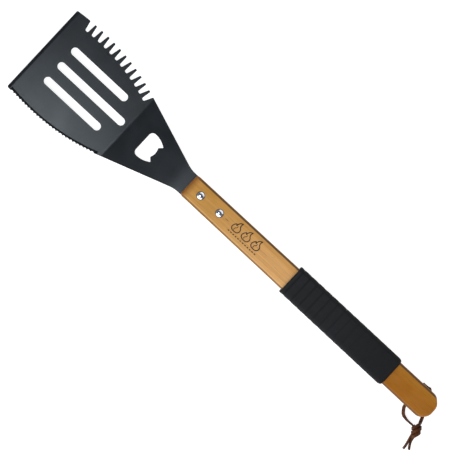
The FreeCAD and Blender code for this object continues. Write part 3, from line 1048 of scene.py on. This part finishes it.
@dataclass
class Thong:
    """The leather hanging thong: one flat lace through the cross bore, tied in an overhand knot.

    The lace is made as two halves that meet in the middle of the bore. Places are counted from the
    middle of the bore, in millimetres, and angles are in degrees.
    """

    finish: LaceLeather = field(default_factory=LaceLeather)
    width: float = 3.6
    thickness: float = 1.2
    edge_radius: float = 0.4
    edge_steps: int = 3
    mouth: float = 14.2
    knot_centre: Place = (26.0, -24.8, -6.5)
    knot_azimuth: float = -47.0
    points_per_turn: int = 12
    coil: dict[Side, Coil] = field(default_factory=lambda: {
        Side.KNIFE: Coil(reach=3.8, first=205.0, last=-130.0, radius=2.1),
        Side.COMB: Coil(reach=5.0, first=-10.0, last=850.0, radius=4.1, crown=1.2, slant=1.6),
    })
    leg: dict[Side, list[Place]] = field(default_factory=lambda: {
        Side.KNIFE: [
            (0.0, 0.0, 0.0), (0.2, -11.0, 0.0), (0.2, -15.6, -0.1), (2.6, -18.7, -3.0), (6.0, -22.2, -8.4),
            (10.8, -23.7, -10.6), (15.9, -24.0, -10.6), (20.4, -23.6, -8.8),
        ],
        Side.COMB: [
            (0.0, 0.0, 0.0), (0.2, 11.0, 0.0), (0.2, 14.75, -0.1), (1.0, 14.85, -4.4), (4.0, 14.95, -8.8),
            (9.4, 14.9, -11.5), (14.0, 8.2, -11.6), (17.4, 0.6, -11.6), (20.4, -6.6, -11.6),
            (23.2, -12.6, -11.0), (24.6, -17.2, -9.6),
        ],
    })
    tail: dict[Side, list[Place]] = field(default_factory=lambda: {
        Side.KNIFE: [(26.6, -30.6, -9.6), (27.2, -34.0, -10.4), (28.5, -39.0, -10.75), (29.6, -43.6, -10.75),
                     (29.8, -47.6, -10.75)],
        Side.COMB: [(29.0, -33.6, -7.6), (30.3, -37.4, -9.8), (32.6, -41.2, -10.75), (35.0, -44.4, -10.75)],
    })
    length: dict[Side, float] = field(default_factory=lambda: {Side.KNIFE: 0.0785, Side.COMB: 0.1535})

    def bore(self) -> Vector:
        """The middle of the cross bore, in metres."""
        return Vector(frame["joints"][0]["pos_m"])

    def knot_way(self) -> Vector:
        """The knot's direction in plan, from the legs to the tails."""
        azimuth = math.radians(self.knot_azimuth)
        return Vector((math.cos(azimuth), math.sin(azimuth), 0.0))

    def turns(self, side: Side) -> list[Place]:
        """Control points of a half's turns in the knot.

        The knife-side half runs through the knot as a loose inner coil, and the comb-side half is wound
        round it the other way.

        Args:
            side: The half.

        Returns:
            Points counted from the middle of the bore.
        """
        coil = self.coil[side]
        count = round(abs(coil.last - coil.first) / 360.0 * self.points_per_turn)
        way = self.knot_way()
        across = Vector((-way.y, way.x, 0.0))
        found = []
        for step in range(count + 1):
            share = step / count
            turn = math.radians(coil.first + (coil.last - coil.first) * share)
            along = coil.reach * (2.0 * share - 1.0) - coil.slant * math.cos(turn)
            out = coil.radius + coil.crown * math.exp(-((share - 0.5) / coil.crown_share) ** 2)
            place = Vector(self.knot_centre) + way * along
            place += across * (out * math.cos(turn)) + Vector((0.0, 0.0, out * math.sin(turn)))
            found.append(tuple(place))
        return found

    def widths(self, side: Side) -> list[Vector]:
        """The way the lace's width points at each control point of a half's route.

        Args:
            side: The half.

        Returns:
            One direction for each control point.
        """
        along, leaning, flat = Vector((1.0, 0.0, 0.0)), Vector((0.0, 0.38, 0.92)), Vector((0.9, 0.43, 0.0))
        leg = {
            Side.KNIFE: [along] * 3 + [Vector((0.85, 0.5, 0.1)), Vector((0.55, 0.75, 0.35)),
                                       Vector((0.1, 0.6, 0.8)), leaning, leaning],
            Side.COMB: [along] * 4 + [Vector((0.9, 0.0, 0.4))] + [flat] * 4
                       + [Vector((0.9, 0.3, 0.3)), Vector((0.7, 0.0, 0.7))],
        }[side]
        on_edge = Vector((0.43, 0.14, 0.9))
        return leg + [self.knot_way()] * len(self.turns(side)) + [on_edge] * len(self.tail[side])

    def line(self, side: Side) -> list[Vector]:
        """The smooth line that a half follows from the middle of the bore, read from its spline.

        Args:
            side: The half.

        Returns:
            Its points, in metres.
        """
        places = self.leg[side] + self.turns(side) + self.tail[side]
        mesh = spline_mesh([self.bore() + Vector(place) * MM for place in places], 8)
        found = [vertex.co.copy() for vertex in mesh.vertices]
        bpy.data.meshes.remove(mesh)
        return found

    def frames(self, side: Side, line: list[Vector]) -> list[Matrix]:
        """Where the lace's section stands at each point of its line.

        Args:
            side: The half.
            line: The points of its line.

        Returns:
            One matrix for each point: X is the lace's width, Y its thickness and Z its way.
        """
        widths = self.widths(side)
        spans = len(widths) - 2
        found = []
        for index, place in enumerate(line):
            before, after = line[max(index - 1, 0)], line[min(index + 1, len(line) - 1)]
            way = (after - before).normalized()
            station = index / (len(line) - 1) * spans + 0.5
            low = max(0, min(int(station), len(widths) - 2))
            share = min(max(station - low, 0.0), 1.0)
            width = widths[low].lerp(widths[low + 1], share)
            width = (width - way * width.dot(way)).normalized()
            turn = Matrix((width, way.cross(width), way)).transposed().to_4x4()
            found.append(Matrix.Translation(place) @ turn)
        return found

    def lace(self, side: Side) -> bpy.types.Object:
        """Make one half as a flat strip swept along its line.

        Args:
            side: The half.

        Returns:
            The lace's piece.
        """
        line = self.line(side)
        places = self.frames(side, line)
        bm = bmesh.new()
        across = bm.verts.layers.float.new("across")
        ring = rounded_outline(bm, self.width * MM, self.thickness * MM, self.edge_radius * MM,
                               self.edge_steps)
        for vert in ring:
            vert[across] = vert.co.x / (self.width * MM / 2.0)
        edges = list(bm.edges)
        bmesh.ops.transform(bm, matrix=places[0], verts=ring)
        for before, after in zip(places, places[1:]):
            ring, edges = extruded(bm, edges)
            bmesh.ops.transform(bm, matrix=after @ before.inverted(), verts=ring)
        bmesh.ops.contextual_create(bm, geom=edges)
        bmesh.ops.recalc_face_normals(bm, faces=list(bm.faces))
        piece = piece_from(bm, "lace_%s_side" % side.name.lower())
        log.info("%s is %.1f mm long", piece.name, sum((b - a).length for a, b in zip(line, line[1:])) / MM)
        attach(piece, LOOP_BODY)
        return piece

    def build(self) -> list[bpy.types.Object]:
        """Make both halves of the lace and let them stand for the frame's plain tubes.

        Returns:
            The pieces of this sub-assembly.
        """
        leather = self.finish.material()
        halves = {side: self.lace(side) for side in Side}
        for piece in halves.values():
            dress(piece, leather)
        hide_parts("thong_loop", "thong_tail_1")
        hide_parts("thong_knot", "thong_tail_2")
        return list(halves.values())


# --- studio ---
@dataclass
class Studio:
    """The white table, the soft lights and the camera that looks straight down."""

    table: TableTop = field(default_factory=TableTop)
    table_radius: float = 8.0
    table_gap: float = 0.3 * MM
    camera_place: Place = (-8.95 * MM, -5.0 * MM, 2.01)
    camera_turn: float = 42.93
    lens: float = 158.24
    key_place: Place = (0.1, -0.9, 0.8)
    key_size: Band = (1.8, 1.0)
    key_watts: float = 12.5
    fill_place: Place = (0.1, 0.9, 0.8)
    fill_watts: float = 5.8
    sheen_place: Place = (-0.115, -0.125, 0.6)
    sheen_size: Band = (0.14, 0.14)
    sheen_watts: float = 0.74
    sheen_colour: Colour = (0.84, 0.96, 1.04)
    sky_stops: tuple[tuple[float, Colour], ...] = (
        (0.0, (0.9, 0.9, 0.9)), (0.78, (0.12, 0.13, 0.15)), (1.0, (0.07, 0.08, 0.1)))

    def floor(self) -> bpy.types.Object:
        """Make the table top as a round disc.

        Returns:
            The disc.
        """
        bm = bmesh.new()
        bmesh.ops.create_circle(bm, cap_ends=True, radius=self.table_radius, segments=96)
        bmesh.ops.translate(bm, vec=(0.0, 0.0, -self.table_gap), verts=bm.verts)
        disc = piece_from(bm, "table")
        dress(disc, self.table.material())
        return disc

    def softbox(self, name: str, place: Place, aim: Vector, size: Band, watts: float,
                colour: Colour = (1.0, 1.0, 1.0)) -> None:
        """Hang a rectangular soft light that the camera doesn't see.

        Args:
            name: Its name.
            place: Its middle.
            aim: The point that it faces.
            size: Its width and height, in metres.
            watts: Its power.
            colour: Its colour.
        """
        light = bpy.data.lights.new(name, "AREA")
        light.shape = "RECTANGLE"
        light.size, light.size_y = size
        light.energy = watts
        light.color = colour
        box = bpy.data.objects.new(name, light)
        box.location = place
        box.rotation_euler = (Vector(place) - aim).to_track_quat("Z", "Y").to_euler()
        box.visible_camera = False
        bpy.context.scene.collection.objects.link(box)

    def sky(self) -> None:
        """Light the room: bright walls, and a dark ceiling above the object."""
        world = bpy.data.worlds.new("room")
        world.use_nodes = True
        bpy.context.scene.world = world
        tree = world.node_tree
        tree.nodes.clear()
        source = tree.nodes.new("ShaderNodeTexCoord")
        split = tree.nodes.new("ShaderNodeSeparateXYZ")
        shade = tree.nodes.new("ShaderNodeValToRGB")
        glow = tree.nodes.new("ShaderNodeBackground")
        output = tree.nodes.new("ShaderNodeOutputWorld")
        tree.links.new(source.outputs["Generated"], split.inputs["Vector"])
        tree.links.new(split.outputs["Z"], shade.inputs["Fac"])
        tree.links.new(shade.outputs["Color"], glow.inputs["Color"])
        tree.links.new(glow.outputs["Background"], output.inputs["Surface"])
        stops = shade.color_ramp.elements
        stops.new(0.5)
        for stop, (at, colour) in zip(stops, self.sky_stops):
            stop.position = at
            stop.color = (*colour, 1.0)
        glow.inputs["Strength"].default_value = 1.0

    def camera(self) -> None:
        """Hang the camera over the table."""
        lens = bpy.data.cameras.new("camera")
        lens.lens = self.lens
        lens.sensor_width = 36.0
        lens.clip_start = 0.01
        seen_from = bpy.data.objects.new("camera", lens)
        seen_from.location = self.camera_place
        seen_from.rotation_euler = (0.0, 0.0, math.radians(self.camera_turn))
        bpy.context.scene.collection.objects.link(seen_from)
        bpy.context.scene.camera = seen_from

    def build(self) -> None:
        """Set up the table, the lights and the camera."""
        bpy.context.scene.view_settings.view_transform = "Standard"
        self.floor()
        self.softbox("key", self.key_place, Vector(), self.key_size, self.key_watts)
        self.softbox("fill", self.fill_place, Vector(), self.key_size, self.fill_watts)
        self.softbox("sheen", self.sheen_place, Vector((*self.sheen_place[:2], 0.0)), self.sheen_size,
                     self.sheen_watts, self.sheen_colour)
        self.sky()
        self.camera()


def main() -> None:
    """Build every sub-assembly in order and report its pieces."""
    logging.basicConfig(level=logging.INFO, format="%(message)s")
    for assembly in (Thong(), Blade(), Handle(), GripSleeve(), Rivets()):
        for piece in assembly.build():
            log.info("%s: %s, %d faces", type(assembly).__name__, piece.name, len(piece.data.polygons))
    Studio().build()


if __name__ == "__main__":
    main()
